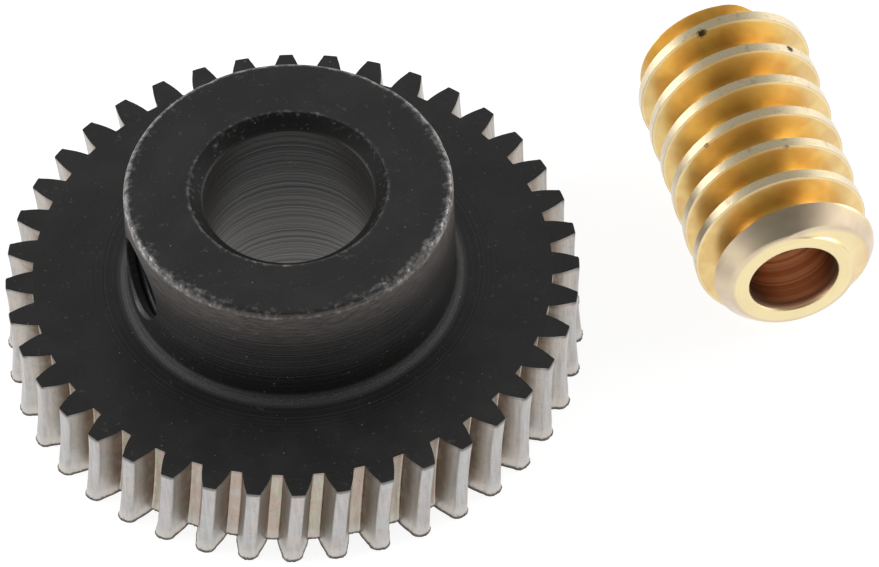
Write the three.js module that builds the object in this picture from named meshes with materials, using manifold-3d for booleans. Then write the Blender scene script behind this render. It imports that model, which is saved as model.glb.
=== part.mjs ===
// Worm gear set: a one-piece steel worm wheel with a hub, its set screw, and the brass worm that drives it.
// The gears lie on a flat surface as a loose pair: the wheel on its back face, and the worm on its side.
// Units are millimetres, +Z is up, and the origin is the middle of the pair's footprint on that surface.
import * as THREE from 'three';
import { mergeVertices } from 'three/addons/utils/BufferGeometryUtils.js';
import Module from 'manifold-3d';

const wasm = await Module();
wasm.setup();

const degrees = THREE.MathUtils.degToRad;
const FULL_TURN = 2 * Math.PI;
const CUT_MARGIN = 1; // how far a cutter runs past the face that it cuts through

// Gearing that the wheel and the worm share
const MODULE = 0.8;
const PRESSURE_ANGLE = degrees(20);
const ADDENDUM = MODULE;
const DEDENDUM = 1.2 * MODULE;
const BACKLASH = 0.04;
const THREAD_STARTS = 1;
const LEAD = THREAD_STARTS * Math.PI * MODULE;

// Worm
const WORM_PITCH_RADIUS = 4.5;
const WORM_TIP_RADIUS = WORM_PITCH_RADIUS + ADDENDUM;
const WORM_ROOT_RADIUS = WORM_PITCH_RADIUS - DEDENDUM;
const WORM_LENGTH = 18;
const WORM_BORE_RADIUS = 2.7;
const WORM_BORE_CHAMFER = 0.1;
const WORM_FRONT_CHAMFER = { depth: 1.5, length: 1.7 };
const WORM_REAR_CHAMFER = { depth: 1.1, length: 1.4 };
const THREAD_ANGLE_AT_FRONT = degrees(130); // where the middle of the land crosses the front end
const THREAD_SEGMENTS = 48;
const LEAD_ANGLE = Math.atan(LEAD / (FULL_TURN * WORM_PITCH_RADIUS));

// Worm wheel: toothed disc
const WHEEL_TEETH = 40;
const WHEEL_PITCH_RADIUS = (WHEEL_TEETH * MODULE) / 2;
const BASE_RADIUS = WHEEL_PITCH_RADIUS * Math.cos(PRESSURE_ANGLE);
const FACE_WIDTH = 6;
const THROAT_RADIUS = 28; // the teeth are hollowed along the face by a cutter of this radius
const FIRST_TOOTH_ANGLE = degrees(4.35);
const FLANK_STEPS = 3;
const FACE_STEPS = 6;

// Worm wheel: hub
const HUB_RADIUS = 9.6;
const HUB_LENGTH = 7.7;
const HUB_EDGE_CHAMFER = 0.3;
const HUB_FILLET = 0.6;
const FILLET_STEPS = 4;
const WHEEL_BORE_RADIUS = 5;
const WHEEL_BORE_CHAMFER = 0.8;
const WHEEL_BACK_CHAMFER = 0.5;
const ROUND_SEGMENTS = 64;

// Set screw, M5 x 3 with a hexagon socket, and its radial hole in the hub
const SCREW_HOLE_RADIUS = 2.5;
const SCREW_CLEARANCE = 0.3;
const SCREW_LENGTH = 3;
const SCREW_CHAMFER = 0.4;
const SCREW_TIP_GAP = 0.05; // how far the tip stays out of the bore
const SCREW_ANGLE = degrees(187.5);
const SCREW_HEIGHT = FACE_WIDTH + HUB_LENGTH / 2;
const SOCKET_ACROSS_FLATS = 2.5;
const SOCKET_DEPTH = 1.5;
const SCREW_SEGMENTS = 24;

// Where the worm lies beside the wheel, from the wheel's axis
const WORM_OFFSET_X = 28.25;
const WORM_FRONT_Y = -7.8;

function toSolid(geometry) {
  const source = geometry.clone();
  source.deleteAttribute('normal');
  source.deleteAttribute('uv');
  const merged = mergeVertices(source, 1e-5);
  return new wasm.Manifold(new wasm.Mesh({
    numProp: 3,
    vertProperties: new Float32Array(merged.attributes.position.array),
    triVerts: new Uint32Array(merged.index.array),
  }));
}

function toGeometry(solid) {
  const mesh = solid.getMesh();
  const geometry = new THREE.BufferGeometry();
  geometry.setAttribute('position', new THREE.BufferAttribute(mesh.vertProperties, 3));
  geometry.setIndex(new THREE.BufferAttribute(mesh.triVerts, 1));
  geometry.computeVertexNormals();
  return geometry;
}

// A solid of revolution about Z from [radius, height] points that run upwards and start and end on the axis
function turned(points, segments) {
  const profile = points.map(([radius, height]) => new THREE.Vector2(radius, height));
  return new THREE.LatheGeometry(profile, segments).rotateX(Math.PI / 2);
}

// The cutter for a bore along Z from 0 to length, with a 45 degree chamfer at each mouth
function boreCutter(radius, length, startChamfer, endChamfer, segments) {
  return turned([
    [0, -CUT_MARGIN],
    [radius + startChamfer + CUT_MARGIN, -CUT_MARGIN],
    [radius, startChamfer],
    [radius, length - endChamfer],
    [radius + endChamfer + CUT_MARGIN, length + CUT_MARGIN],
    [0, length + CUT_MARGIN],
  ], segments);
}

const involute = (angle) => Math.tan(angle) - angle;

// How far the hollowed teeth stand out from their mid-face size, at a height from mid-face
const throatRise = (height) => THROAT_RADIUS - Math.sqrt(THROAT_RADIUS ** 2 - height ** 2);

// Half of the angle that a tooth takes up at a radius; the rise moves the cutter out and so thickens the tooth
function toothHalfAngle(radius, rise) {
  const atPitchCircle = (Math.PI * MODULE) / 4 - BACKLASH / 2 + rise * Math.tan(PRESSURE_ANGLE);
  const pressureAngleHere = Math.acos(Math.min(1, BASE_RADIUS / radius));
  return atPitchCircle / WHEEL_PITCH_RADIUS + involute(PRESSURE_ANGLE) - involute(pressureAngleHere);
}

// The wheel's outline at a height from mid-face, as [x, y] points counter-clockwise
function toothedOutline(height) {
  const rise = throatRise(height);
  const rootRadius = WHEEL_PITCH_RADIUS - DEDENDUM + rise;
  const tipRadius = WHEEL_PITCH_RADIUS + ADDENDUM - throatRise(FACE_WIDTH / 2) + rise;
  const helixTurn = (height * Math.tan(LEAD_ANGLE)) / WHEEL_PITCH_RADIUS;
  const flankRadii = Array.from({ length: FLANK_STEPS + 1 },
    (_, step) => THREE.MathUtils.lerp(rootRadius, tipRadius, step / FLANK_STEPS));
  const points = [];
  for (let tooth = 0; tooth < WHEEL_TEETH; tooth++) {
    const middle = FIRST_TOOTH_ANGLE + helixTurn + (tooth * FULL_TURN) / WHEEL_TEETH;
    const flank = (radius, side) => {
      const angle = middle + side * toothHalfAngle(radius, rise);
      points.push([radius * Math.cos(angle), radius * Math.sin(angle)]);
    };
    flankRadii.forEach((radius) => flank(radius, -1));
    [...flankRadii].reverse().forEach((radius) => flank(radius, 1));
  }
  return points;
}

// A closed solid through a stack of outlines with equal point counts, capped from each end's middle
function lofted(outlines, heights) {
  const count = outlines[0].length;
  const positions = outlines.flatMap((outline, level) => outline.flatMap(([x, y]) => [x, y, heights[level]]));
  const bottomMiddle = count * outlines.length;
  const topMiddle = bottomMiddle + 1;
  const topStart = count * (outlines.length - 1);
  positions.push(0, 0, heights[0], 0, 0, heights.at(-1));
  const triangles = [];
  for (let point = 0; point < count; point++) {
    const next = (point + 1) % count;
    for (let level = 0; level < topStart; level += count) {
      triangles.push(level + point, level + next, level + count + next);
      triangles.push(level + point, level + count + next, level + count + point);
    }
    triangles.push(bottomMiddle, next, point);
    triangles.push(topMiddle, topStart + point, topStart + next);
  }
  const geometry = new THREE.BufferGeometry();
  geometry.setAttribute('position', new THREE.Float32BufferAttribute(positions, 3));
  geometry.setIndex(triangles);
  return geometry;
}

function toothedDisc() {
  const heights = Array.from({ length: FACE_STEPS + 1 }, (_, step) => (step * FACE_WIDTH) / FACE_STEPS);
  return lofted(heights.map((height) => toothedOutline(height - FACE_WIDTH / 2)), heights);
}

function hub() {
  const top = FACE_WIDTH + HUB_LENGTH;
  const fillet = Array.from({ length: FILLET_STEPS + 1 }, (_, step) => {
    const angle = (step / FILLET_STEPS) * (Math.PI / 2);
    return [
      HUB_RADIUS + HUB_FILLET * (1 - Math.sin(angle)),
      FACE_WIDTH + HUB_FILLET * (1 - Math.cos(angle)),
    ];
  });
  return turned([
    [0, FACE_WIDTH / 2],
    [HUB_RADIUS + HUB_FILLET, FACE_WIDTH / 2],
    ...fillet,
    [HUB_RADIUS, top - HUB_EDGE_CHAMFER],
    [HUB_RADIUS - HUB_EDGE_CHAMFER, top],
    [0, top],
  ], ROUND_SEGMENTS);
}

// Turns a shape that stands on the origin along Z to lie along the screw's radial axis
function alongScrewAxis(object) {
  object.rotation.set(0, Math.PI / 2, SCREW_ANGLE, 'ZYX');
  object.position.z = SCREW_HEIGHT;
  return object;
}

function screwHoleCutter() {
  const length = HUB_RADIUS + CUT_MARGIN;
  const cylinder = new THREE.CylinderGeometry(SCREW_HOLE_RADIUS, SCREW_HOLE_RADIUS, length, SCREW_SEGMENTS);
  const cutter = alongScrewAxis(new THREE.Object3D());
  cutter.updateMatrix();
  return cylinder.rotateX(Math.PI / 2).translate(0, 0, length / 2).applyMatrix4(cutter.matrix);
}

function wormWheel() {
  const wheelLength = FACE_WIDTH + HUB_LENGTH;
  const bore = boreCutter(
    WHEEL_BORE_RADIUS, wheelLength, WHEEL_BACK_CHAMFER, WHEEL_BORE_CHAMFER, ROUND_SEGMENTS);
  const solid = toSolid(toothedDisc())
    .add(toSolid(hub()))
    .subtract(toSolid(bore))
    .subtract(toSolid(screwHoleCutter()));
  const blackenedSteel = new THREE.MeshStandardMaterial({ color: 0x2e2c2d, roughness: 0.5, metalness: 0.7 });
  return new THREE.Mesh(toGeometry(solid), blackenedSteel);
}

function setScrew() {
  const radius = SCREW_HOLE_RADIUS - SCREW_CLEARANCE;
  const body = turned([
    [0, 0],
    [radius - SCREW_CHAMFER, 0],
    [radius, SCREW_CHAMFER],
    [radius, SCREW_LENGTH - SCREW_CHAMFER],
    [radius - SCREW_CHAMFER, SCREW_LENGTH],
    [0, SCREW_LENGTH],
  ], SCREW_SEGMENTS);
  const socketRadius = SOCKET_ACROSS_FLATS / 2 / Math.cos(Math.PI / 6);
  const socketLength = SOCKET_DEPTH + CUT_MARGIN;
  const socket = new THREE.CylinderGeometry(socketRadius, socketRadius, socketLength, 6)
    .rotateX(Math.PI / 2)
    .translate(0, 0, SCREW_LENGTH - SOCKET_DEPTH + socketLength / 2);
  const darkSteel = new THREE.MeshStandardMaterial({ color: 0x232223, roughness: 0.45, metalness: 0.8 });
  const geometry = toGeometry(toSolid(body).subtract(toSolid(socket)));
  return new THREE.Mesh(geometry.translate(0, 0, WHEEL_BORE_RADIUS + SCREW_TIP_GAP), darkSteel);
}

// One pitch of the thread along the worm as [radius, distance] points, from the middle of the land
function threadProfile() {
  const pitch = Math.PI * MODULE;
  const slope = Math.tan(PRESSURE_ANGLE);
  const halfLand = pitch / 4 - ADDENDUM * slope;
  const halfRoot = pitch / 4 - DEDENDUM * slope;
  return [
    [WORM_TIP_RADIUS, halfLand],
    [WORM_ROOT_RADIUS, pitch / 2 - halfRoot],
    [WORM_ROOT_RADIUS, pitch / 2 + halfRoot],
    [WORM_TIP_RADIUS, pitch - halfLand],
  ];
}

// The endless thread on its core, longer than the worm at both ends. Each row of points follows the helix
// once round, and the row one pitch further on starts where it ends, so the wall closes on itself.
function threadedBar() {
  const profile = threadProfile();
  const pitch = Math.PI * MODULE;
  const turnsBefore = 3;
  const turns = Math.ceil(WORM_LENGTH / pitch) + 2 * turnsBefore;
  const rows = [];
  for (let turn = -turnsBefore; turn < turns - turnsBefore; turn++) {
    profile.forEach(([radius, distance]) => rows.push([radius, distance + turn * pitch]));
  }
  const helixStart = -(THREAD_ANGLE_AT_FRONT / FULL_TURN) * LEAD;
  const positions = rows.flatMap(([radius, distance]) => Array.from({ length: THREAD_SEGMENTS }, (_, step) => {
    const angle = (step / THREAD_SEGMENTS) * FULL_TURN;
    const along = helixStart + distance + (step / THREAD_SEGMENTS) * LEAD;
    return [radius * Math.cos(angle), radius * Math.sin(angle), along];
  })).flat();
  const rowsPerLead = profile.length * THREAD_STARTS;
  const vertex = (row, step) => (step < THREAD_SEGMENTS
    ? row * THREAD_SEGMENTS + step
    : (row + rowsPerLead) * THREAD_SEGMENTS);
  const triangles = [];
  const lastRow = rows.length - 1 - rowsPerLead;
  for (let row = 0; row < lastRow; row++) {
    for (let step = 0; step < THREAD_SEGMENTS; step++) {
      triangles.push(vertex(row, step), vertex(row, step + 1), vertex(row + 1, step + 1));
      triangles.push(vertex(row, step), vertex(row + 1, step + 1), vertex(row + 1, step));
    }
  }
  const closeEnd = (row, facing) => {
    const rim = Array.from({ length: THREAD_SEGMENTS + 1 }, (_, step) => vertex(row, step));
    for (let back = rowsPerLead - 1; back > 0; back--) {
      rim.push(vertex(row + back, 0));
    }
    const middle = positions.length / 3;
    positions.push(0, 0, positions[3 * rim[0] + 2] + LEAD / 2);
    rim.forEach((point, index) => {
      const next = rim[(index + 1) % rim.length];
      triangles.push(middle, ...(facing > 0 ? [point, next] : [next, point]));
    });
  };
  closeEnd(0, -1);
  closeEnd(lastRow, 1);
  const geometry = new THREE.BufferGeometry();
  geometry.setAttribute('position', new THREE.Float32BufferAttribute(positions, 3));
  geometry.setIndex(triangles);
  return geometry;
}

function worm() {
  const blank = turned([
    [0, 0],
    [WORM_TIP_RADIUS - WORM_FRONT_CHAMFER.depth, 0],
    [WORM_TIP_RADIUS + CUT_MARGIN, WORM_FRONT_CHAMFER.length * (1 + CUT_MARGIN / WORM_FRONT_CHAMFER.depth)],
    [WORM_TIP_RADIUS + CUT_MARGIN,
      WORM_LENGTH - WORM_REAR_CHAMFER.length * (1 + CUT_MARGIN / WORM_REAR_CHAMFER.depth)],
    [WORM_TIP_RADIUS - WORM_REAR_CHAMFER.depth, WORM_LENGTH],
    [0, WORM_LENGTH],
  ], THREAD_SEGMENTS);
  const bore = boreCutter(
    WORM_BORE_RADIUS, WORM_LENGTH, WORM_BORE_CHAMFER, WORM_BORE_CHAMFER, THREAD_SEGMENTS);
  const solid = toSolid(threadedBar())
    .intersect(toSolid(blank))
    .subtract(toSolid(bore));
  const brass = new THREE.MeshStandardMaterial({ color: 0xc79b52, roughness: 0.3, metalness: 1 });
  return new THREE.Mesh(toGeometry(solid), brass);
}

// The loose pair on its surface, in the wheel's frame
function gearSet() {
  const set = new THREE.Group();

  const wheelMesh = wormWheel();
  wheelMesh.name = 'worm_wheel';
  set.add(wheelMesh);

  const screwMesh = alongScrewAxis(setScrew());
  screwMesh.name = 'set_screw';
  set.add(screwMesh);

  const wormMesh = worm();
  wormMesh.name = 'worm';
  wormMesh.rotation.x = -Math.PI / 2;
  wormMesh.position.set(WORM_OFFSET_X, WORM_FRONT_Y, WORM_TIP_RADIUS);
  set.add(wormMesh);

  return set;
}

const group = gearSet();
const footprint = new THREE.Box3().setFromObject(group, true).getCenter(new THREE.Vector3());
group.position.set(-footprint.x, -footprint.y, 0);

export default group;
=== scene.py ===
"""Looks of the worm gear set: detailed meshes, procedural finishes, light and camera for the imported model.

Shapes are worked out in millimetres in each gear's own frame, with the gear's axis along local Z.
"""
import math

import bmesh
import bpy
import numpy as np
from mathutils import Matrix, Vector


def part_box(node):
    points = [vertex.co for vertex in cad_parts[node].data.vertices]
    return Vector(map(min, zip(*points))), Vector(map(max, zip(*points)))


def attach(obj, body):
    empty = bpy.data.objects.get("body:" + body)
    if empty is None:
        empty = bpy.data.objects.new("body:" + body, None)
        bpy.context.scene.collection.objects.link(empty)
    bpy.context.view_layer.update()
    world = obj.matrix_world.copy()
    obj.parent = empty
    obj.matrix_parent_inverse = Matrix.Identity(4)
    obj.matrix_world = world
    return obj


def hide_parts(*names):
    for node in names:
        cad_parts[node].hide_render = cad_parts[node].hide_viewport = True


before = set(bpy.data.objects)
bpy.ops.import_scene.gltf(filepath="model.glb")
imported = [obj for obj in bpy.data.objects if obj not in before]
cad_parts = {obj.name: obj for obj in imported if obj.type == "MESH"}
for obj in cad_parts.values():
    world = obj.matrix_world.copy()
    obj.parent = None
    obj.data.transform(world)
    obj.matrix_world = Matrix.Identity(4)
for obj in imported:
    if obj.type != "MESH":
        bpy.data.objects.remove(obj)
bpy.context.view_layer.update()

MM = 0.001
FULL_TURN = 2 * math.pi
rng = np.random.default_rng(7)

# Gearing that the wheel and the worm share, in mm
MODULE = 0.8
PITCH = math.pi * MODULE
PRESSURE_ANGLE = math.radians(20)
ADDENDUM = MODULE
DEDENDUM = 1.2 * MODULE
BACKLASH = 0.04

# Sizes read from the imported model
wheel_low, wheel_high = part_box("worm_wheel")
worm_low, worm_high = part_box("worm")
screw_low, screw_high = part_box("set_screw")
WHEEL_AXIS = ((wheel_low + wheel_high) / 2).to_2d().to_3d()
WHEEL_HEIGHT = wheel_high.z / MM
WORM_TIP_RADIUS = (worm_high.z - worm_low.z) / 2 / MM
WORM_LENGTH = (worm_high.y - worm_low.y) / MM
WORM_FRONT = Vector(((worm_low.x + worm_high.x) / 2, worm_low.y, (worm_low.z + worm_high.z) / 2))

# Wheel
TEETH = 40
WHEEL_PITCH_RADIUS = TEETH * MODULE / 2
FACE_WIDTH = 6.0
THROAT_RADIUS = 28.0
FIRST_TOOTH_ANGLE = math.radians(4.35)
LIP_HEIGHT = 0.22
LIP_DEPTH = 0.05
HUB_RADIUS = 9.6
HUB_FILLET = 0.6
HUB_CHAMFER = 0.3
WHEEL_BORE_RADIUS = 5.0
BORE_CHAMFER = 0.8
BACK_CHAMFER = 0.5
DENTS = 26
BLACK, BARE = 0, 1  # the wheel's two finishes, by material slot

# Worm
WORM_PITCH_RADIUS = WORM_TIP_RADIUS - ADDENDUM
WORM_ROOT_RADIUS = WORM_PITCH_RADIUS - DEDENDUM
WORM_BORE_RADIUS = 2.7
WORM_BORE_CHAMFER = 0.1
THREAD_ANGLE_AT_FRONT = math.radians(130)
LAND_WEAR = 0.035
LEAD_ANGLE = math.atan(PITCH / (FULL_TURN * WORM_PITCH_RADIUS))

# Set screw, M5 with a hexagon socket
SCREW_PITCH = 0.8
SCREW_MAJOR_RADIUS = 2.38
SCREW_MINOR_RADIUS = 1.98
SCREW_LENGTH = 3.0
SOCKET_RADIUS = 1.25
SOCKET_DEPTH = 1.5
HOLE_MAJOR_RADIUS = 2.58
HOLE_MINOR_RADIUS = 2.44  # clear of the screw's crest, because the screw slides without turning
HOLE_MOUTH_RADIUS = 2.55
SCREW_TIP_AT = 5.05
SCREW_ANGLE = math.radians(187.5)
SCREW_HEIGHT = (screw_low.z + screw_high.z) / 2 / MM

# Light, as brightness where 1 is paper white
FLOOR_GLOW = 0.88
HORIZON_GLOW = 1.15
OVERHEAD_GLOW = 0.42
OPENING_SHARE = 0.38
CAMERA_SIDE = (-0.138, -0.624, 0.769)


# ---------------------------------------------------------------- mesh tools

def smooth_min(a, b, blend):
    """The smaller of a and b, rounded over where they are within blend of each other."""
    overlap = np.maximum(blend - np.abs(a - b), 0) / blend
    return np.minimum(a, b) - overlap ** 2 * blend / 4


def smooth_max(a, b, blend):
    return -smooth_min(-a, -b, blend)


def arc(start, end, steps, bulge_at_start):
    """Points of a quarter round from start to end in (radius, height), leaving start along one axis."""
    turn = np.linspace(0, math.pi / 2, steps + 1)
    lead, follow = (np.sin(turn), 1 - np.cos(turn))
    first, second = (lead, follow) if bulge_at_start == "radius" else (follow, lead)
    return [(start[0] + (end[0] - start[0]) * a, start[1] + (end[1] - start[1]) * b)
            for a, b in zip(first, second)]


def mesh_object(name, vertices, faces, materials):
    """An object from points in mm, with its doubled points merged."""
    mesh = bpy.data.meshes.new(name)
    mesh.from_pydata((np.asarray(vertices) * MM).tolist(), [], faces)
    work = bmesh.new()
    work.from_mesh(mesh)
    bmesh.ops.remove_doubles(work, verts=work.verts, dist=2e-7)
    bmesh.ops.dissolve_degenerate(work, edges=work.edges, dist=1e-7)
    bmesh.ops.recalc_face_normals(work, faces=work.faces)
    work.to_mesh(mesh)
    work.free()
    for material in materials:
        mesh.materials.append(material)
    piece = bpy.data.objects.new(name, mesh)
    bpy.context.scene.collection.objects.link(piece)
    return piece


def shade(piece, sharp_degrees):
    piece.data.shade_smooth()
    piece.data.set_sharp_from_angle(angle=math.radians(sharp_degrees))


def points_of(piece):
    flat = np.empty(len(piece.data.vertices) * 3)
    piece.data.vertices.foreach_get("co", flat)
    return flat.reshape(-1, 3) / MM


def move_points(piece, points):
    piece.data.vertices.foreach_set("co", (points * MM).ravel())
    piece.data.update()


def store(piece, name, values):
    """Keeps one number per point on the mesh, for the finish to read."""
    attribute = piece.data.attributes.new(name, "FLOAT", "POINT")
    attribute.data.foreach_set("value", np.clip(values, 0, 1))


def cut(piece, cutter):
    """Subtracts the cutter from the piece and removes it."""
    modifier = piece.modifiers.new("cut", "BOOLEAN")
    modifier.operation = "DIFFERENCE"
    modifier.solver = "EXACT"
    modifier.object = cutter
    evaluated = piece.evaluated_get(bpy.context.evaluated_depsgraph_get())
    result = bpy.data.meshes.new_from_object(evaluated)
    piece.modifiers.clear()
    piece.data = result
    bpy.data.objects.remove(cutter)


# ---------------------------------------------------------------- threaded bodies

def thread_radius(distance, pitch, tip, root, half_land, slope, edge, fillet):
    """Radius of a trapezoid thread at a distance along the axis from the middle of a land."""
    away = np.abs((distance + pitch / 2) % pitch - pitch / 2)
    flank = tip - (away - half_land) / slope
    return smooth_min(np.full_like(flank, tip), smooth_max(flank, np.full_like(flank, root), fillet), edge)


def threaded_body(envelope, tail, pitch, start_angle, radius_at, columns, rows_per_pitch, edge=0.025):
    """Points and faces of a turned body with a helical thread cut into it.

    envelope is the blank's outline as (radius, height) points. Rows of points follow the helix, so the
    thread's edges stay clean, and each row joins the row one pitch further on after a full turn. tail is a
    list of closed loops, each an array of (radius, height) for every column, that carries on from the
    outline's end.
    """
    outline = np.array(envelope, float)
    steps = np.hypot(*np.diff(outline, axis=0).T)
    along = np.concatenate([[0], np.cumsum(steps)])
    total = along[-1]
    rows = math.ceil((total + pitch) / pitch * rows_per_pitch) + 2 * rows_per_pitch
    row_at = (np.arange(rows) / rows_per_pitch - 1) * pitch - pitch / rows_per_pitch
    angle = np.arange(columns) / columns * FULL_TURN
    place = np.clip(row_at[:, None] + angle[None, :] / FULL_TURN * pitch, 0, total)
    blank = np.interp(place, along, outline[:, 0])
    height = np.interp(place, along, outline[:, 1])
    distance = height + (start_angle - angle[None, :]) / FULL_TURN * pitch
    thread = radius_at(distance)
    radius = np.where(blank < thread - edge, blank, smooth_min(blank, thread, edge))
    loops = np.stack([radius * np.cos(angle), radius * np.sin(angle), height], -1)
    points = [loops.reshape(-1, 3)]

    index = np.arange(rows * columns).reshape(rows, columns)
    joined = np.concatenate([index[:-rows_per_pitch], index[rows_per_pitch:, :1]], axis=1)
    faces = [quads(joined)]

    tail_loops = [np.stack([loop[:, 0] * np.cos(angle), loop[:, 0] * np.sin(angle), loop[:, 1]], -1)
                  for loop in tail]
    tail_points = np.concatenate([loops[-1:]] + [loop[None] for loop in tail_loops])
    tail_index = rows * columns + np.arange(len(tail_points) * columns).reshape(-1, columns)
    points.append(tail_points.reshape(-1, 3))
    faces.append(quads(np.concatenate([tail_index, tail_index[:, :1]], axis=1)))
    return np.concatenate(points), np.concatenate(faces).tolist()


def quads(index):
    """Faces between neighbouring rows of point numbers, whose last column repeats the first."""
    return np.stack([index[:-1, :-1], index[:-1, 1:], index[1:, 1:], index[1:, :-1]], -1).reshape(-1, 4)


def round_loop(radius, height, columns):
    return np.tile([radius, height], (columns, 1)).astype(float)


# ---------------------------------------------------------------- finishes

class Finish:
    """A material whose nodes are added by short calls. Positions are in mm in the piece's own frame."""

    def __init__(self, name):
        self.material = bpy.data.materials.new(name)
        self.material.use_nodes = True
        self.tree = self.material.node_tree
        self.shader = self.tree.nodes["Principled BSDF"]
        coordinates = self.tree.nodes.new("ShaderNodeTexCoord")
        self.place = self.vector("SCALE", coordinates.outputs["Object"], scale=1 / MM)
        split = self.tree.nodes.new("ShaderNodeSeparateXYZ")
        self.feed(split.inputs[0], self.place)
        x, y, self.height = split.outputs
        flat = self.tree.nodes.new("ShaderNodeCombineXYZ")
        self.feed(flat.inputs[0], x)
        self.feed(flat.inputs[1], y)
        self.radius = self.vector("LENGTH", flat.outputs[0])
        normal = self.tree.nodes.new("ShaderNodeSeparateXYZ")
        self.feed(normal.inputs[0], coordinates.outputs["Normal"])
        self.facing_up = self.math("ABSOLUTE", normal.outputs[2])

    def feed(self, socket, value):
        if isinstance(value, bpy.types.NodeSocket):
            self.tree.links.new(value, socket)
        else:
            socket.default_value = value

    def math(self, operation, a, b=0.0):
        node = self.tree.nodes.new("ShaderNodeMath")
        node.operation = operation
        self.feed(node.inputs[0], a)
        self.feed(node.inputs[1], b)
        return node.outputs[0]

    def times(self, a, b):
        return self.math("MULTIPLY", a, b)

    def plus(self, a, b):
        return self.math("ADD", a, b)

    def minus(self, a, b):
        return self.math("SUBTRACT", a, b)

    def larger(self, a, b):
        return self.math("MAXIMUM", a, b)

    def vector(self, operation, a, b=None, scale=None):
        node = self.tree.nodes.new("ShaderNodeVectorMath")
        node.operation = operation
        self.feed(node.inputs[0], a)
        if b is not None:
            self.feed(node.inputs[1], b)
        if scale is not None:
            self.feed(node.inputs["Scale"], scale)
        return node.outputs["Value" if operation in ("LENGTH", "DISTANCE") else "Vector"]

    def fade(self, value, start, end, low=0.0, high=1.0):
        """Goes smoothly from low to high as value goes from start to end."""
        node = self.tree.nodes.new("ShaderNodeMapRange")
        node.interpolation_type = "SMOOTHSTEP"
        for socket, amount in zip(node.inputs[:5], (value, start, end, low, high)):
            self.feed(socket, amount)
        return node.outputs[0]

    def noise(self, place, scale, detail=3.0, roughness=0.55, line=False):
        """Noise from 0 to 1, through space or, with line, along one number."""
        node = self.tree.nodes.new("ShaderNodeTexNoise")
        node.noise_dimensions = "1D" if line else "3D"
        self.feed(node.inputs["W" if line else "Vector"], place)
        self.feed(node.inputs["Scale"], scale)
        self.feed(node.inputs["Detail"], detail)
        self.feed(node.inputs["Roughness"], roughness)
        return node.outputs["Fac"]

    def specks(self, place, scale, size, share):
        """Scattered spots: 1 inside a spot, 0 elsewhere. share is how many of the cells hold a spot."""
        node = self.tree.nodes.new("ShaderNodeTexVoronoi")
        self.feed(node.inputs["Vector"], place)
        self.feed(node.inputs["Scale"], scale)
        chosen = self.tree.nodes.new("ShaderNodeSeparateColor")
        self.feed(chosen.inputs[0], node.outputs["Color"])
        inside = self.fade(node.outputs["Distance"], size, size * 0.5)
        return self.times(inside, self.math("LESS_THAN", chosen.outputs[0], share))

    def mix(self, share, a, b):
        """Colour a where share is 0 and colour b where it is 1."""
        node = self.tree.nodes.new("ShaderNodeMix")
        node.data_type = "RGBA"
        self.feed(node.inputs["Factor"], share)
        self.feed(node.inputs[6], a if isinstance(a, bpy.types.NodeSocket) else (*a, 1))
        self.feed(node.inputs[7], b if isinstance(b, bpy.types.NodeSocket) else (*b, 1))
        return node.outputs[2]

    def blend(self, share, a, b):
        """Number a where share is 0 and number b where it is 1."""
        node = self.tree.nodes.new("ShaderNodeMix")
        self.feed(node.inputs["Factor"], share)
        self.feed(node.inputs[2], a)
        self.feed(node.inputs[3], b)
        return node.outputs[0]

    def scaled(self, x, y, z):
        return self.vector("MULTIPLY", self.place, (x, y, z))

    def attribute(self, name):
        node = self.tree.nodes.new("ShaderNodeAttribute")
        node.attribute_name = name
        return node.outputs["Fac"]

    def bump(self, height, depth_mm):
        node = self.tree.nodes.new("ShaderNodeBump")
        self.feed(node.inputs["Height"], height)
        node.inputs["Distance"].default_value = depth_mm * MM
        node.inputs["Strength"].default_value = 1.0
        self.feed(self.shader.inputs["Normal"], node.outputs[0])

    def set(self, **values):
        for name, value in values.items():
            socket = self.shader.inputs[name.replace("_", " ").title().replace("Ior", "IOR")]
            is_colour = isinstance(value, tuple) and len(value) == 3
            self.feed(socket, (*value, 1) if is_colour else value)


def plain_black(f, grain):
    """The oxide itself: cloudy black with a paler grain."""
    cloud = f.noise(f.place, 0.35, 3.0)
    black = f.mix(f.fade(cloud, 0.35, 0.7), (0.0165, 0.0158, 0.0160), (0.0245, 0.0232, 0.0226))
    return f.mix(f.times(f.fade(grain, 0.58, 0.72), 0.4), black, (0.050, 0.048, 0.047))


def with_rings(f, black, fine, ring_depth):
    """Fine rings left by the lathe, paler and darker by turns."""
    pale = f.times(f.fade(fine, 0.45, 0.7), f.times(ring_depth, 0.8))
    dark = f.times(f.fade(fine, 0.55, 0.38), f.times(ring_depth, 0.7))
    return f.mix(dark, f.mix(pale, black, (0.036, 0.034, 0.034)), (0.009, 0.0085, 0.0085))


def with_hub_wall_painted_light(f, black, on_wall):
    """The hub's wall: streaky, with a painted reflection making it paler towards its top and painted shade
    making it nearly black near the disc.
    """
    # painted reflection: the upper part of the wall is made paler grey
    painted_reflection_high_up = f.times(on_wall, f.fade(f.height, FACE_WIDTH + 4.0, WHEEL_HEIGHT - 0.3))
    streaky = f.fade(f.noise(f.scaled(1.2, 1.2, 9.0), 1.0, 3.0, 0.6), 0.3, 0.7, 0.35, 1.0)
    # painted shade: the wall's foot is made nearly black next to the disc
    low_down = f.times(on_wall, f.fade(f.height, FACE_WIDTH + 3.5, FACE_WIDTH + 1.0))
    black = f.mix(f.times(painted_reflection_high_up, streaky), black, (0.088, 0.078, 0.071))
    return f.mix(f.times(low_down, 0.75), black, (0.005, 0.005, 0.0045))


def fillet_mask(f):
    """1 in the fillet round the hub's foot, 0 elsewhere."""
    off_fillet = f.math("ABSOLUTE", f.minus(f.radius, HUB_RADIUS + 0.28))
    low_enough = f.fade(f.height, FACE_WIDTH + 0.7, FACE_WIDTH + 0.3)
    return f.times(f.fade(off_fillet, 0.45, 0.1), low_enough)


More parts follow.
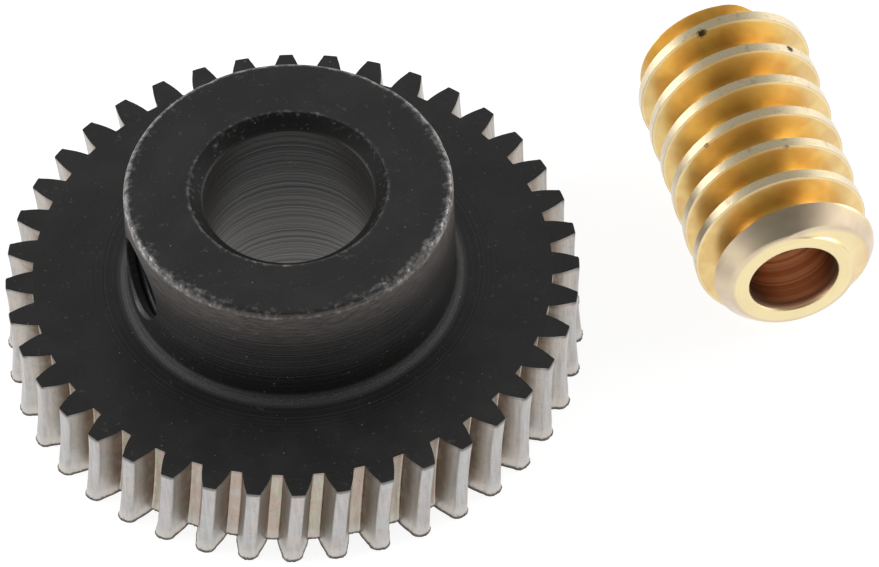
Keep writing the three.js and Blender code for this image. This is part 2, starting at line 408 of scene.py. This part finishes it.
def chamfer_mask(f):
    """1 on the chamfer at the mouth of the wheel's bore, 0 elsewhere."""
    outer = WHEEL_BORE_RADIUS + BORE_CHAMFER
    inside = f.fade(f.radius, outer, outer - 0.05)
    return f.times(inside, f.fade(f.height, WHEEL_HEIGHT - 1.0, WHEEL_HEIGHT - 0.85))


def bore_marks_and_painted_light(f, off_marks):
    """The bore's colour: dark in the tool marks, with painted light making it paler further down."""
    # painted light: the wall goes from nearly black at the top to pale grey further down
    skin = f.mix(f.fade(f.height, WHEEL_HEIGHT - 2.0, 5.0), (0.020, 0.018, 0.016), (0.150, 0.138, 0.124))
    return f.mix(f.times(f.minus(1.0, off_marks), 0.62), skin, (0.024, 0.021, 0.019))


def scuffing(f):
    """How far the black is rubbed off: ragged patches, strongest where the mesh is marked as worn."""
    patches = f.minus(f.noise(f.place, 1.1, 3.0, 0.6), 0.5)
    nicks = f.minus(f.noise(f.place, 3.4, 3.0, 0.55), 0.5)
    ragged = f.plus(f.times(patches, 1.1), f.times(nicks, 1.9))
    worn = f.plus(f.attribute("wear"), ragged)
    haze = f.times(f.fade(worn, 0.25, 0.95), 0.34)
    return f.larger(haze, f.times(f.fade(worn, 0.62, 1.1), 0.85))


def black_oxide(name):
    """Blackened turned steel: rings on the faces, lines round the walls, bright where it is rubbed, with
    painted light and shade on the hub's wall, its fillet, the bore and the bore's chamfer.
    """
    f = Finish(name)
    on_wall = f.fade(f.facing_up, 0.8, 0.5)
    across = f.blend(on_wall, f.radius, f.height)
    fine = f.noise(across, 9.0, 2.0, 0.6, line=True)
    broad = f.noise(across, 2.2, 2.0, 0.5, line=True)
    grain = f.noise(f.place, 14.0, 3.0)
    wavering = f.plus(f.height, f.times(f.noise(f.place, 1.3, 2.0), 0.16))
    off_marks = f.fade(f.noise(wavering, 4.2, 3.0, 0.65, line=True), 0.38, 0.60)
    in_bore = f.times(f.fade(f.radius, WHEEL_BORE_RADIUS + 0.15, WHEEL_BORE_RADIUS + 0.05), on_wall)
    in_fillet, in_chamfer = fillet_mask(f), chamfer_mask(f)
    ring_depth = f.fade(f.radius, HUB_RADIUS + 3.2, HUB_RADIUS + 0.5, 0.12, 0.8)
    ring_depth = f.times(ring_depth, f.fade(f.height, FACE_WIDTH + 1, WHEEL_HEIGHT - 0.1, 1.0, 0.15))
    ring_depth = f.larger(ring_depth, on_wall)

    black = with_rings(f, plain_black(f, grain), fine, ring_depth)
    black = with_hub_wall_painted_light(f, black, on_wall)
    # painted highlight: the fillet round the hub's foot is made paler grey, standing in for the light it
    # reflects
    black = f.mix(f.times(in_fillet, f.fade(grain, 0.35, 0.65, 0.3, 0.75)), black, (0.062, 0.060, 0.060))
    black = f.mix(in_bore, black, bore_marks_and_painted_light(f, off_marks))
    # painted shade: the chamfer at the bore's mouth is made darker
    black = f.mix(f.times(in_chamfer, 0.55), black, (0.012, 0.0115, 0.011))

    scuff = scuffing(f)
    dust = f.larger(f.specks(f.place, 1.05, 0.06, 0.45), f.times(f.specks(f.place, 2.6, 0.13, 0.16), 0.6))
    colour = f.mix(scuff, black, (0.34, 0.332, 0.325))
    colour = f.mix(f.times(dust, 0.4), colour, (0.4, 0.41, 0.42))
    outside_shine = f.blend(in_chamfer, f.blend(on_wall, 0.36, 0.25), 0.05)
    shine = f.blend(in_bore, outside_shine, f.blend(off_marks, 0.4, 0.85))
    roughness = f.blend(scuff, f.fade(fine, 0.25, 0.75, 0.36, 0.48), 0.4)
    f.set(base_color=colour, metallic=f.times(scuff, 0.6), roughness=f.blend(in_fillet, roughness, 0.62),
          specular_ior_level=shine)
    relief = f.times(f.plus(fine, broad), f.times(ring_depth, 0.8))
    f.bump(f.plus(relief, f.times(grain, 0.4)), 0.022)
    return f.material


def cut_steel(name):
    """Bare steel left by the gear cutter: faint streaks along the teeth and dark burrs at their ends, with
    painted shade towards the roots of the flanks and in the crease at the root.
    """
    f = Finish(name)
    streak = f.noise(f.scaled(5.0, 5.0, 0.35), 1.0, 3.0, 0.55)
    patch = f.noise(f.scaled(1.1, 1.1, 0.5), 1.0, 3.0)
    tint = f.noise(f.scaled(0.9, 0.9, 0.7), 1.0, 2.0, 0.6)
    pit = f.noise(f.place, 7.0, 4.0, 0.65)
    from_middle = f.minus(f.height, FACE_WIDTH / 2)
    rise = f.math("DIVIDE", f.times(from_middle, from_middle), 2 * THROAT_RADIUS)
    above_root = f.minus(f.radius, f.plus(rise, WHEEL_PITCH_RADIUS - DEDENDUM))
    shade_of_streak = f.fade(streak, 0.3, 0.7)

    flank = f.mix(shade_of_streak, (0.44, 0.41, 0.375), (0.51, 0.48, 0.445))
    # painted shade: the flanks are darkened towards the roots, between neighbouring teeth
    painted_shade_near_root = f.fade(above_root, 1.1, 0.2)
    flank = f.mix(f.times(painted_shade_near_root, 0.85), flank, (0.33, 0.26, 0.20))
    land = f.mix(shade_of_streak, (0.42, 0.405, 0.40), (0.50, 0.485, 0.48))
    root = f.mix(shade_of_streak, (0.45, 0.425, 0.33), (0.53, 0.50, 0.40))
    root = f.mix(f.fade(patch, 0.46, 0.56), root, (0.50, 0.40, 0.34))
    steel = f.mix(f.fade(above_root, 1.15, 1.65), flank, land)
    steel = f.mix(f.fade(above_root, 0.08, 0.02), steel, root)
    # painted shade: a thin dark brown line in the crease where the flank meets the root
    painted_shade_root_edge = f.times(f.fade(above_root, 0.02, 0.05), f.fade(above_root, 0.14, 0.07))
    steel = f.mix(f.times(painted_shade_root_edge, 0.6), steel, (0.15, 0.105, 0.08))
    steel = f.mix(f.times(f.fade(tint, 0.52, 0.66), 0.5), steel, (0.56, 0.49, 0.44))
    steel = f.mix(f.times(f.fade(tint, 0.46, 0.34), 0.5), steel, (0.50, 0.515, 0.50))
    low_down = f.fade(f.plus(f.height, f.times(pit, 0.5)), 1.3, 0.7)
    steel = f.mix(f.times(low_down, 0.6), steel, (0.60, 0.565, 0.52))
    steel = f.mix(f.times(f.fade(pit, 0.58, 0.70), 0.45), steel, (0.20, 0.16, 0.13))

    low_edge = f.fade(f.minus(f.height, f.times(pit, 0.22)), 0.1, 0.0)
    steel = f.mix(f.times(low_edge, 0.85), steel, (0.055, 0.042, 0.034))
    lip = f.fade(f.plus(f.height, f.times(pit, 0.08)),
                 FACE_WIDTH - LIP_HEIGHT - 0.04, FACE_WIDTH - LIP_HEIGHT + 0.12)
    on_land = f.fade(above_root, 1.2, 1.6, 0.35, 0.75)
    steel = f.mix(f.times(lip, on_land), steel, (0.12, 0.115, 0.115))
    f.set(base_color=steel, metallic=1.0, roughness=f.fade(streak, 0.3, 0.75, 0.44, 0.36))
    f.bump(f.plus(streak, f.times(pit, 0.6)), 0.009)
    return f.material


WORM_SPECKS = (  # angle round the worm in degrees, distance from its front in mm, size in mm
    (-105.5, 15.4, 0.42), (-48.7, 13.9, 0.27), (-77.5, 5.6, 0.24), (-127.5, 7.8, 0.22), (-31.0, 9.7, 0.22),
    (-12.0, 3.0, 0.22), (-70.0, 9.2, 0.16),
)


def dirt_specks(f, grain):
    """1 inside the worm's specks of dirt, 0 elsewhere."""
    dirt = 0.0
    for angle, distance, size in WORM_SPECKS:
        turn = math.radians(angle)
        spot = (WORM_TIP_RADIUS * math.cos(turn), WORM_TIP_RADIUS * math.sin(turn), distance)
        gap = f.plus(f.vector("DISTANCE", f.place, spot), f.times(grain, 0.5))
        dirt = f.larger(dirt, f.fade(gap, size + 0.3, size + 0.12))
    return dirt


def turned_brass(name):
    """Lacquered brass: champagne rubbed lands, golden grooves, a brown bore and a few specks of dirt, with
    painted highlights on the end ring, the grooves near the front and the edges of the lands.
    """
    f = Finish(name)
    marks = f.noise(f.scaled(0.5, 0.5, 11.0), 1.0, 3.0, 0.6)
    streaks = f.noise(f.height, 1.9, 3.0, 0.6, line=True)
    cloud = f.noise(f.place, 0.5, 2.0)
    grain = f.noise(f.place, 9.0, 4.0, 0.6)
    stain = f.noise(f.place, 1.5, 3.0, 0.6)
    on_land = f.fade(f.radius, WORM_TIP_RADIUS - 0.08, WORM_TIP_RADIUS - 0.02)
    gold = f.mix(f.fade(cloud, 0.4, 0.62), (0.80, 0.56, 0.17), (0.70, 0.44, 0.11))
    gold = f.mix(f.times(f.fade(marks, 0.4, 0.7), 0.12), gold, (0.80, 0.62, 0.32))
    pale = f.mix(f.fade(grain, 0.3, 0.7), (0.68, 0.56, 0.33), (0.58, 0.465, 0.255))
    pale = f.mix(f.times(f.fade(stain, 0.54, 0.68), 0.5), pale, (0.38, 0.27, 0.14))
    on_end = f.fade(f.plus(f.height, f.times(f.radius, -0.96)), -3.3, -3.5)
    end = f.mix(f.fade(cloud, 0.35, 0.7), (0.70, 0.56, 0.35), (0.60, 0.455, 0.31))
    # painted highlight: the flat end face round the bore is made paler cream
    painted_highlight_ring = f.times(f.fade(f.height, 0.06, 0.03), f.fade(f.radius, 3.6, 3.4))
    end = f.mix(painted_highlight_ring, end, (0.80, 0.68, 0.44))
    # painted highlight: the grooves within 1.4 mm of the front end are made pale yellow
    gold = f.mix(f.times(f.fade(f.height, 1.4, 0.5), 0.7), gold, (0.88, 0.76, 0.42))
    # painted highlight: a pale cream line along the top of the flanks, just below the lands
    painted_highlight_edge = f.times(f.fade(f.radius, WORM_TIP_RADIUS - 0.2, WORM_TIP_RADIUS - 0.1),
                     f.fade(f.height, 1.3, 1.8))
    gold = f.mix(f.times(painted_highlight_edge, 0.4), gold, (0.92, 0.84, 0.60))
    skin = f.mix(on_land, f.mix(on_end, gold, end), pale)
    in_bore = f.times(f.fade(f.radius, WORM_BORE_RADIUS + 0.06, WORM_BORE_RADIUS + 0.01),
                     f.fade(f.facing_up, 0.6, 0.4))
    brown = f.mix(f.fade(streaks, 0.4, 0.6), (0.60, 0.36, 0.23), (0.90, 0.68, 0.50))
    skin = f.mix(in_bore, skin, brown)
    dirt = dirt_specks(f, grain)
    skin = f.mix(f.times(f.fade(grain, 0.62, 0.75), 0.12), skin, (0.34, 0.22, 0.09))
    skin = f.mix(dirt, skin, (0.06, 0.034, 0.014))
    clean = f.minus(1.0, dirt)
    f.set(base_color=skin, metallic=clean, specular_ior_level=f.blend(dirt, 0.5, 0.1),
          roughness=f.blend(on_land, f.fade(grain, 0.3, 0.7, 0.30, 0.34), 0.36),
          coat_weight=f.times(clean, f.blend(in_bore, 1.0, 0.15)), coat_roughness=0.3, coat_ior=1.9)
    f.bump(f.plus(marks, f.times(grain, 0.1)), 0.003)
    return f.material


def screw_black(name):
    """Oiled black steel, brighter along the thread's crest."""
    f = Finish(name)
    grain = f.noise(f.place, 8.0, 4.0)
    crest = f.fade(f.radius, SCREW_MAJOR_RADIUS - 0.08, SCREW_MAJOR_RADIUS)
    rubbed = f.times(crest, f.fade(grain, 0.45, 0.65))
    black = f.mix(grain, (0.018, 0.018, 0.019), (0.034, 0.032, 0.031))
    f.set(base_color=f.mix(f.times(rubbed, 0.6), black, (0.25, 0.24, 0.23)), metallic=rubbed,
          roughness=f.fade(grain, 0.3, 0.7, 0.3, 0.45))
    f.bump(grain, 0.01)
    return f.material


# ---------------------------------------------------------------- worm wheel

def involute(angle):
    return np.tan(angle) - angle


def throat_rise(height):
    return THROAT_RADIUS - math.sqrt(THROAT_RADIUS ** 2 - height ** 2)


def tooth_half_angle(radius, rise):
    """Half of the angle that a tooth takes up at a radius, when the cutter stands out by rise."""
    half_thickness = PITCH / 4 - BACKLASH / 2 + rise * math.tan(PRESSURE_ANGLE)
    base_radius = WHEEL_PITCH_RADIUS * math.cos(PRESSURE_ANGLE)
    here = np.arccos(np.minimum(1, base_radius / np.asarray(radius)))
    return half_thickness / WHEEL_PITCH_RADIUS + involute(PRESSURE_ANGLE) - involute(here)


def tooth_outline(height):
    """Half a tooth and half its gap as (angle from the tooth's middle, radius), at a height from mid-face."""
    rise = throat_rise(height)
    root = WHEEL_PITCH_RADIUS - DEDENDUM + rise
    tip = WHEEL_PITCH_RADIUS + ADDENDUM - throat_rise(FACE_WIDTH / 2) + rise
    above_back = height + FACE_WIDTH / 2
    flare = 0.07 * max(0, 1 - above_back / 0.35) ** 2
    corner, fillet = 0.2 + 0.4 * max(0, 1 - above_back / 0.9) ** 1.2, 0.1
    tip += flare
    at_tip = tooth_half_angle(tip - corner, rise) + flare / tip
    inner = max(at_tip - corner / tip, 0.15 * at_tip)
    land = [(0, tip), (inner * 0.6, tip)]
    land += [(inner + (at_tip - inner) * math.sin(t), tip - corner * (1 - math.cos(t)))
             for t in np.radians((0, 22, 44, 66))]
    flank_radii = np.linspace(tip - corner, root + fillet, 8)
    flank = list(zip(tooth_half_angle(flank_radii, rise) + flare / flank_radii, flank_radii))
    gap_middle = math.pi / TEETH
    foot = flank[-1][0]
    reach = fillet / root
    rounding = [(foot + reach * (1 - math.cos(t)), root + fillet * (1 - math.sin(t)))
                for t in np.radians((30, 60, 90))]
    rounding.append((0.5 * (rounding[-1][0] + gap_middle), root))
    return np.array(land + flank + rounding + [(gap_middle, root)])


def wheel_outline(height):
    """The toothed outline at a height from mid-face, as the angle and radius of every column."""
    half = tooth_outline(height)
    left = half[1:-1][::-1] * (-1, 1)
    one = np.concatenate([left, half])
    turn = FIRST_TOOTH_ANGLE + height * math.tan(LEAD_ANGLE) / WHEEL_PITCH_RADIUS
    starts = turn + np.arange(TEETH) / TEETH * FULL_TURN
    angle = (starts[:, None] + one[None, :, 0]).ravel()
    return angle, np.tile(one[:, 1], TEETH)


def hub_profile():
    """(radius, height) of the rings up the hub, over its end face and into the mouth of the bore."""
    foot, shoulder = HUB_RADIUS + HUB_FILLET, HUB_RADIUS - HUB_CHAMFER
    mouth = WHEEL_BORE_RADIUS + BORE_CHAMFER
    wall = np.linspace(FACE_WIDTH + HUB_FILLET, WHEEL_HEIGHT - HUB_CHAMFER, 22)[1:-1]
    near_shoulder = [shoulder - inset for inset in (0.05, 0.12, 0.2, 0.3, 0.42, 0.56, 0.75, 1.0, 1.4)]
    end_face = near_shoulder + [7.3, 6.6, 6.15, 6.0, 5.92, mouth + 0.04]
    profile = arc((foot, FACE_WIDTH), (HUB_RADIUS, FACE_WIDTH + HUB_FILLET), 8, "radius")
    profile += [(HUB_RADIUS, height) for height in wall]
    profile += arc((HUB_RADIUS, WHEEL_HEIGHT - HUB_CHAMFER - 0.1), (shoulder, WHEEL_HEIGHT), 8, "height")
    profile += [(radius, WHEEL_HEIGHT) for radius in end_face]
    return profile + [(mouth - 0.03, WHEEL_HEIGHT - 0.03)]


def wheel_loops():
    """Closed loops from the back of the bore round the outside and down the bore, and each band's finish."""
    low_angle, low_radius = wheel_outline(-FACE_WIDTH / 2)
    high_angle, high_radius = wheel_outline(FACE_WIDTH / 2)
    disc_edge = low_radius.min() - 0.35
    back_edge = WHEEL_BORE_RADIUS + BACK_CHAMFER
    lip_start = FACE_WIDTH - LIP_HEIGHT
    loops, finishes = [], []

    def ring(angle, radius, height, finish=BLACK):
        radius, height = np.broadcast_to(radius, angle.shape), np.broadcast_to(height, angle.shape)
        loops.append(np.stack([radius * np.cos(angle), radius * np.sin(angle), height], -1))
        finishes.append(finish)

    ring(low_angle, WHEEL_BORE_RADIUS, BACK_CHAMFER)
    ring(low_angle, back_edge - 0.03, 0.03)
    for radius in (back_edge + 0.04, 9.0, 12.5, disc_edge):
        ring(low_angle, radius, 0.0)
    for share in (0.35, 0.7, 1.0):
        ring(low_angle, disc_edge + (low_radius - 0.05 - disc_edge) * share, 0.0)
    for height in np.concatenate([[0.04, 0.1, 0.18, 0.28], np.linspace(0.4, FACE_WIDTH - 0.4, 19),
                                  [lip_start, FACE_WIDTH - LIP_HEIGHT / 2, FACE_WIDTH - 0.03]]):
        angle, radius = wheel_outline(height - FACE_WIDTH / 2)
        into_lip = max(0, height - lip_start) / LIP_HEIGHT
        ring(angle, np.minimum(radius, high_radius.max() - LIP_DEPTH * into_lip), height, BARE)
    finishes[-1] = BLACK  # the band from the last row of the teeth to the disc's face
    top_radius = np.minimum(high_radius - 0.02, high_radius.max() - LIP_DEPTH - 0.02)
    for share in (1.0, 0.7, 0.35, 0.0):
        ring(high_angle, disc_edge + (top_radius - disc_edge) * share, FACE_WIDTH)
    for radius in np.linspace(disc_edge, HUB_RADIUS + HUB_FILLET, 12)[1:-1]:
        ring(high_angle, radius, FACE_WIDTH)
    for radius, height in hub_profile():
        ring(high_angle, radius, height)
    bore_heights = np.linspace(WHEEL_HEIGHT - BORE_CHAMFER, BACK_CHAMFER, 16)[:-1]
    for height in bore_heights:
        share = (height - BACK_CHAMFER) / (bore_heights[0] - BACK_CHAMFER)
        ring(low_angle + (high_angle - low_angle) * share, WHEEL_BORE_RADIUS, height)
    return np.array(loops), finishes


KNOCKS = (  # where the hub's shoulder has been knocked: middle and width in degrees, amount
    (-45, 14, 0.75), (-68, 16, 0.6), (-138, 22, 0.6), (165, 30, 0.3), (5, 34, 0.55),
)


def bell(value, middle, width):
    """1 where value is at the middle, falling smoothly to 0 on both sides."""
    return np.exp(-((value - middle) / width) ** 2)


def hub_wear(points):
    """How rubbed each point of the wheel is: the hub's edges, most of all where they have been knocked."""
    radius = np.hypot(points[:, 0], points[:, 1])
    angle = np.degrees(np.arctan2(points[:, 1], points[:, 0]))
    top = points[:, 2] > WHEEL_HEIGHT - 0.5

    def around(middle, width):
        return bell((angle - middle + 180) % 360 - 180, 0, width)

    on_edge = bell(points[:, 2], WHEEL_HEIGHT - HUB_CHAMFER, 0.06) * (radius > HUB_RADIUS - 0.15)
    on_chamfer = (radius > HUB_RADIUS - HUB_CHAMFER - 0.02) * top
    on_shoulder = bell(radius, HUB_RADIUS - HUB_CHAMFER - 0.1, 0.28) * top
    at_bore = bell(radius, WHEEL_BORE_RADIUS + BORE_CHAMFER + 0.06, 0.1) * top
    knocked = 0.2 + sum(amount * around(middle, width) for middle, width, amount in KNOCKS)
    return np.maximum.reduce([on_edge * 0.74, on_chamfer * (0.8 - 0.5 * around(-100, 42)),
                              on_shoulder * np.minimum(knocked, 1) * 0.8, at_bore * 0.56])


def dent(points, count):
    """Small knocks pressed into the hub's top edge."""
    radius = np.hypot(points[:, 0], points[:, 1])
    angle = np.arctan2(points[:, 1], points[:, 0])
    near_edge = np.exp(-((radius - HUB_RADIUS) ** 2 + (points[:, 2] - WHEEL_HEIGHT) ** 2) / 0.35 ** 2)
    push = np.zeros(len(points))
    in_front, anywhere = rng.normal(-55, 18, count // 2), rng.uniform(-180, 180, count - count // 2)
    for middle in np.radians(np.concatenate([in_front, anywhere])):
        width = rng.uniform(0.15, 0.5) / HUB_RADIUS
        away = (angle - middle + math.pi) % FULL_TURN - math.pi
        push += rng.uniform(0.02, 0.07) * np.exp(-(away / width) ** 2)
    moved = points.copy()
    scale = 1 - np.minimum(push, 0.09) * near_edge / np.maximum(radius, 1)
    moved[:, :2] *= scale[:, None]
    moved[:, 2] -= np.minimum(push, 0.09) * near_edge * 0.8
    return moved


def burr(points):
    """A ragged lip of metal that the cutter pushed out along the lower ends of the teeth."""
    radius = np.hypot(points[:, 0], points[:, 1])
    angle = np.arctan2(points[:, 1], points[:, 0])
    ripples = ((613, 0.3), (401, 1.7), (257, 4.1), (89, 2.2))
    ragged = sum(np.sin(angle * rate + phase) for rate, phase in ripples) / len(ripples)
    amount = np.clip(0.03 + 0.05 * ragged, 0, 0.07) * (radius > 14.9) * np.exp(-(points[:, 2] / 0.14) ** 2)
    moved = points.copy()
    moved[:, :2] *= (1 + amount / np.maximum(radius, 1))[:, None]
    return moved


def screw_frame():
    """Turns local Z to point out along the screw's radial axis."""
    return Matrix.Translation((0, 0, SCREW_HEIGHT * MM)) @ Matrix.Rotation(SCREW_ANGLE, 4, "Z") @ \
        Matrix.Rotation(math.pi / 2, 4, "Y")


def screw_thread(distance, major, minor):
    return thread_radius(distance, SCREW_PITCH, major, minor, 0.06, math.tan(math.radians(30)), 0.03, 0.08)


def hole_cutter(materials):
    """The shape of the tapped hole and its small countersink, standing on the wheel's axis."""
    columns = 96
    mouth = HUB_RADIUS - 0.1
    inner, outer = 4.0, 11.0  # from inside the bore to outside the hub
    envelope = [(0, inner), (HOLE_MAJOR_RADIUS, inner), (HOLE_MAJOR_RADIUS, outer), (0, outer)]

    def radius_at(distance):
        return screw_thread(distance, HOLE_MAJOR_RADIUS, HOLE_MINOR_RADIUS)

    tail = [round_loop(0, outer, columns)]
    points, faces = threaded_body(envelope, tail, SCREW_PITCH, 0.0, radius_at, columns, 16)
    flare = np.clip(points[:, 2] - mouth, -1, 0.5)
    radius = np.hypot(points[:, 0], points[:, 1])
    wanted = np.maximum(radius, np.where(radius > 1, HOLE_MOUTH_RADIUS + flare, 0))
    points[:, :2] *= (wanted / np.maximum(radius, 1e-6))[:, None]
    cutter = mesh_object("hole_cutter", points, faces, materials)
    cutter.data.transform(screw_frame())
    return cutter


def make_wheel():
    finishes = [black_oxide("black_oxide"), cut_steel("cut_steel")]
    loops, bands = wheel_loops()
    count, columns = loops.shape[:2]
    index = np.arange(count * columns).reshape(count, columns)
    index = np.concatenate([index, index[:1]])
    faces = quads(np.concatenate([index, index[:, :1]], axis=1))
    wheel = mesh_object("worm_wheel_body", loops.reshape(-1, 3), faces.tolist(), finishes)
    wheel.data.polygons.foreach_set("material_index", np.repeat(bands, columns))
    cut(wheel, hole_cutter(finishes))
    points = burr(dent(points_of(wheel), DENTS))
    move_points(wheel, points)
    store(wheel, "wear", hub_wear(points))
    shade(wheel, 38)
    wheel.location = WHEEL_AXIS
    return wheel


# ---------------------------------------------------------------- set screw and worm

def make_screw():
    columns = 96
    chamfer = 0.45
    top = SCREW_LENGTH
    envelope = [(0, 0), (SCREW_MAJOR_RADIUS - chamfer, 0), (SCREW_MAJOR_RADIUS, chamfer),
                (SCREW_MAJOR_RADIUS, top - chamfer), (SCREW_MAJOR_RADIUS - chamfer, top), (1.62, top)]
    angle = np.arange(columns) / columns * FULL_TURN
    hexagon = SOCKET_RADIUS / np.cos((angle + math.pi / 6) % (math.pi / 3) - math.pi / 6)

    def socket_loop(grow, height):
        return np.stack([hexagon + grow, np.full(columns, height)], -1)

    floor = top - SOCKET_DEPTH
    tail = [socket_loop(0.1, top), socket_loop(0.03, top - 0.03), socket_loop(0, top - 0.12)]
    tail += [socket_loop(0, top - depth) for depth in np.linspace(0.4, SOCKET_DEPTH, 6)]
    tail += [round_loop(0.9, floor - 0.05, columns), round_loop(0, floor - 0.45, columns)]

    def radius_at(distance):
        return screw_thread(distance, SCREW_MAJOR_RADIUS, SCREW_MINOR_RADIUS)

    start_angle = SCREW_TIP_AT / SCREW_PITCH * FULL_TURN
    points, faces = threaded_body(envelope, tail, SCREW_PITCH, start_angle, radius_at, columns, 18)
    screw = mesh_object("set_screw_body", points, faces, [screw_black("screw_black")])
    shade(screw, 40)
    screw.matrix_world = Matrix.Translation(WHEEL_AXIS) @ screw_frame() @ \
        Matrix.Translation((0, 0, SCREW_TIP_AT * MM))
    return screw


def worm_ends():
    """The worm's front and rear ends as outlines of (radius, height) points, without the thread."""
    length, tip, bore, mouth = WORM_LENGTH, WORM_TIP_RADIUS, WORM_BORE_RADIUS, WORM_BORE_CHAMFER
    rim = bore + mouth
    front = [(bore, mouth), (bore + mouth * 0.6, mouth * 0.25), (rim, 0.03), (rim + 0.08, 0.0),
             (3.36, 0.0), (3.42, 0.04), (3.75, 0.07), (3.9, 0.16), (4.5, 0.78),
             (tip - 0.15, 1.5), (tip - 0.04, 1.66), (tip, 1.85)]
    rear = [(tip, length - 1.35), (tip - 0.06, length - 1.2), (tip - 0.9, length - 0.1), (tip - 1.02, length),
            (rim + 0.08, length), (rim, length - 0.03), (bore, length - mouth)]
    return front, rear


def make_worm():
    columns = 216
    front, rear = worm_ends()
    bore_heights = np.linspace(WORM_LENGTH - WORM_BORE_CHAMFER, WORM_BORE_CHAMFER, 24)
    tail = [round_loop(WORM_BORE_RADIUS, height, columns) for height in bore_heights]
    slope = math.tan(PRESSURE_ANGLE)
    half_land = PITCH / 4 - ADDENDUM * slope - LAND_WEAR

    def radius_at(distance):
        return thread_radius(distance, PITCH, WORM_TIP_RADIUS, WORM_ROOT_RADIUS, half_land, slope, 0.05, 0.3)

    points, faces = threaded_body(front + rear, tail, PITCH, THREAD_ANGLE_AT_FRONT, radius_at, columns, 56)
    worm = mesh_object("worm_body", points, faces, [turned_brass("turned_brass")])
    shade(worm, 40)
    worm.matrix_world = Matrix.Translation(WORM_FRONT) @ Matrix.Rotation(-math.pi / 2, 4, "X")
    return worm


# ---------------------------------------------------------------- floor, light and camera

def make_floor():
    """A pale sweep that glows like a light table, so the gears hardly shade it."""
    mesh = bpy.data.meshes.new("floor")
    reach = 3.0
    drop = -0.00002
    corners = [(-reach, -reach, drop), (reach, -reach, drop), (reach, reach, drop), (-reach, reach, drop)]
    mesh.from_pydata(corners, [], [(0, 1, 2, 3)])
    floor = bpy.data.objects.new("floor", mesh)
    bpy.context.scene.collection.objects.link(floor)
    sweep = bpy.data.materials.new("lit_sweep")
    sweep.use_nodes = True
    shader = sweep.node_tree.nodes["Principled BSDF"]
    shader.inputs["Base Color"].default_value = (0.3, 0.3, 0.3, 1)
    shader.inputs["Roughness"].default_value = 0.9
    shader.inputs["Specular IOR Level"].default_value = 0.1
    shader.inputs["Emission Color"].default_value = (1, 1, 1, 1)
    shader.inputs["Emission Strength"].default_value = FLOOR_GLOW
    mesh.materials.append(sweep)


def smooth_range(tree, source, start, end, low, high):
    """Goes smoothly from low to high as the source goes from start to end."""
    node = tree.nodes.new("ShaderNodeMapRange")
    node.interpolation_type = "SMOOTHSTEP"
    tree.links.new(source, node.inputs[0])
    for socket, amount in zip(node.inputs[1:5], (start, end, low, high)):
        socket.default_value = amount
    return node.outputs[0]


def make_world():
    """A white tent: bright low down, dimmer overhead, and darkest where the camera looks in."""
    world = bpy.data.worlds.new("tent")
    world.use_nodes = True
    tree = world.node_tree
    background = tree.nodes["Background"]
    direction = tree.nodes.new("ShaderNodeTexCoord").outputs["Generated"]
    split = tree.nodes.new("ShaderNodeSeparateXYZ")
    tree.links.new(direction, split.inputs[0])
    facing = tree.nodes.new("ShaderNodeVectorMath")
    facing.operation = "DOT_PRODUCT"
    facing.inputs[1].default_value = CAMERA_SIDE
    tree.links.new(direction, facing.inputs[0])
    strength = tree.nodes.new("ShaderNodeMath")
    strength.operation = "MULTIPLY"
    rising = smooth_range(tree, split.outputs[2], 0.1, 0.7, HORIZON_GLOW, OVERHEAD_GLOW)
    opening = smooth_range(tree, facing.outputs["Value"], 0.45, 0.95, 1.0, OPENING_SHARE)
    tree.links.new(rising, strength.inputs[0])
    tree.links.new(opening, strength.inputs[1])
    tree.links.new(strength.outputs[0], background.inputs["Strength"])
    background.inputs["Color"].default_value = (1, 1, 1, 1)
    bpy.context.scene.world = world


def make_light(name, place, size, power):
    """A soft square light at a place, aimed at the gears."""
    data = bpy.data.lights.new(name, "AREA")
    data.shape = "SQUARE"
    data.size = size
    data.energy = power
    light = bpy.data.objects.new(name, data)
    light.location = place
    light.rotation_euler = (-Vector(place)).to_track_quat("-Z", "Y").to_euler()
    bpy.context.scene.collection.objects.link(light)


def make_camera():
    azimuth, elevation, roll = (math.radians(a) for a in (12.48, 50.28, -2.33))
    aim = Vector((0.0786, -1.3818, 3.8934)) * MM
    distance = 1.0492
    forward = Vector((math.sin(azimuth) * math.cos(elevation), math.cos(azimuth) * math.cos(elevation),
                      -math.sin(elevation)))
    level = Vector((math.cos(azimuth), -math.sin(azimuth), 0))
    upright = level.cross(forward)
    right = math.cos(roll) * level + math.sin(roll) * upright
    up = -math.sin(roll) * level + math.cos(roll) * upright
    data = bpy.data.cameras.new("camera")
    data.lens = 734.68
    data.sensor_width = 36
    data.clip_end = 10
    camera = bpy.data.objects.new("camera", data)
    turn = Matrix((right, up, -forward)).transposed().to_4x4()
    camera.matrix_world = Matrix.Translation(aim - distance * forward) @ turn
    bpy.context.scene.collection.objects.link(camera)
    bpy.context.scene.camera = camera


make_camera()
make_floor()
make_world()
make_light("left_softbox", (-0.42, 0.12, 0.12), 0.35, 1.5)
make_light("right_softbox", (0.42, 0.05, 0.12), 0.35, 1.27)
bpy.context.scene.view_settings.view_transform = "Standard"

for piece, node, body, slot in (
        (make_wheel(), "worm_wheel", "wheel", "blackened_steel"),
        (make_screw(), "set_screw", "screw", "dark_steel"),
        (make_worm(), "worm", "worm", "turned_brass")):
    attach(piece, body)
    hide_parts(node)
